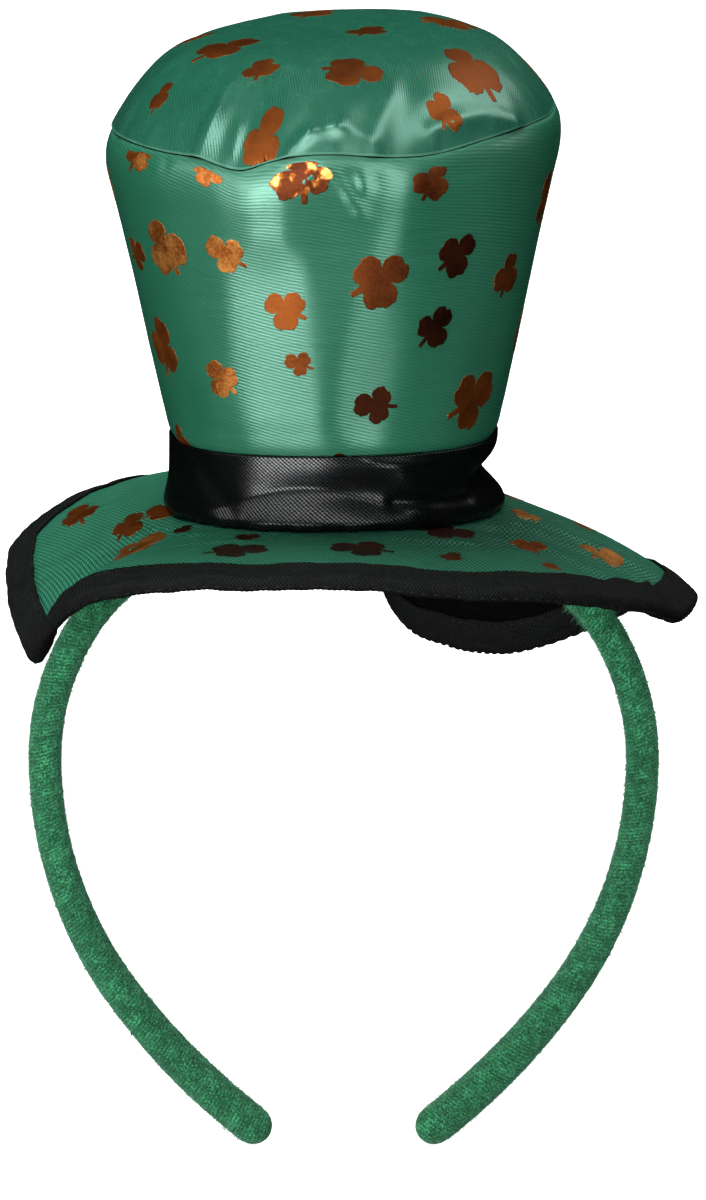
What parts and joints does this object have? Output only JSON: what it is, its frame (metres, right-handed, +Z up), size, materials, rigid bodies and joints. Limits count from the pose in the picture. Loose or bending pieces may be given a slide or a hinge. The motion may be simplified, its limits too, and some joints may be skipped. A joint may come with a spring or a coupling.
{
  "type": "novelty hat headband",
  "caption": "Plush-covered headband hoop carrying a small soft top hat: printed satin crown, black ribbon band and a drooping round brim bound in black tape.",
  "frame": {"origin": "where the inner side of the hoop's top rests on the head", "axes": "+Z up, +Y to the back of the head, +X to the wearer's left"},
  "size_m": [0.1551, 0.1618, 0.2581],
  "materials": {
    "plush": "brushed knit with short fuzz",
    "satin": "green satin with a copper foil shamrock print",
    "lining": "matt black cloth",
    "tape": "black woven tape with stitching",
    "ribbon": "black satin ribbon"
  },
  "bodies": {
    "root": {"headband": "plush", "brim_underside": "lining", "brim_top": "satin", "brim_binding": "tape", "crown_side": "satin", "crown_top": "satin", "hat_band": "ribbon"}
  },
  "joints": []
}
